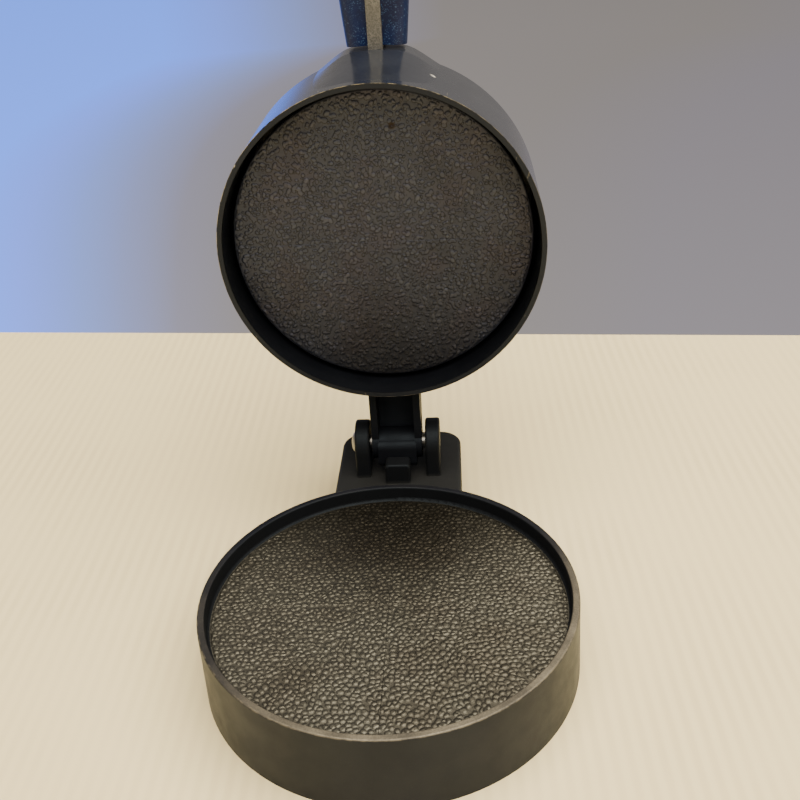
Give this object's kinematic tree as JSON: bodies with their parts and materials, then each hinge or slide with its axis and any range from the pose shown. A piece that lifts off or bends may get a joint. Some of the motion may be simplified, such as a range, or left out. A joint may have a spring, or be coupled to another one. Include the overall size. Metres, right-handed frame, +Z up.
{
  "type": "hinged burger press",
  "caption": "Hinged burger press: round pan and deep lid with a knob-adjusted press plate, both pebbled inside, and a two-scale lever handle.",
  "frame": {"origin": "centre of the pan on the plane that it stands on, where its centre post meets the table", "axes": "+Z up; +Y from the pan to the hinge at the back, so -Y is the user's side; +X to the user's right. The lid is drawn open and upright"},
  "size_m": [0.1262, 0.2145, 0.2996],
  "materials": {
    "cast_metal": "satin dark grey-brown non-stick coating, smooth on the walls, pebbled on the pressing faces",
    "tang_metal": "bare cast aluminium, dull and finely grained",
    "plate_metal": "dull pebbled non-stick coating",
    "grip_plastic": "blue with silver speckle",
    "knob_plastic": "fine matt",
    "cap_plastic": "blue with silver speckle",
    "steel": "turned, bright",
    "zinc_steel": "zinc plated",
    "bush_brass": "turned",
    "washer_nylon": "natural nylon"
  },
  "bodies": {
    "base": {"base_casting": "cast_metal", "hinge_pin": "steel"},
    "lid": {"lid_casting": "cast_metal", "handle_tang": "tang_metal", "hinge_arm": "cast_metal", "grip_left": "grip_plastic", "grip_right": "grip_plastic", "grip_nut_inner": "steel", "grip_nut_outer": "steel", "grip_screw_inner": "steel", "grip_screw_outer": "steel", "key_plate": "zinc_steel", "key_screw_left": "zinc_steel", "key_screw_right": "zinc_steel"},
    "knob": {"adjuster_knob": "knob_plastic", "knob_bush": "bush_brass", "knob_washer": "washer_nylon", "knob_cap": "cap_plastic", "knob_set_screw": "zinc_steel"},
    "plate": {"press_plate": "plate_metal", "plate_screw": "steel", "screw_lock_nut": "zinc_steel"}
  },
  "joints": [
    {"name": "lid_hinge", "type": "hinge", "parent": "base", "child": "lid", "pos_m": [0, 0.084, 0.0336], "axis": [1, 0, 0], "range_deg": [0, 90]},
    {"name": "knob_turn", "type": "hinge", "parent": "lid", "child": "knob", "pos_m": [-0.0006, 0.13, 0.1176], "axis": [0, 1, 0], "range_deg": [-652, 180]},
    {"name": "plate_slide", "type": "slide", "parent": "lid", "child": "plate", "axis": [0, 1, 0], "range_m": [-0.0041, 0.0146]}
  ],
  "couplings": [
    {"joint": "plate_slide", "follows": "knob_turn", "m_per_rad": -0.0012732}
  ]
}
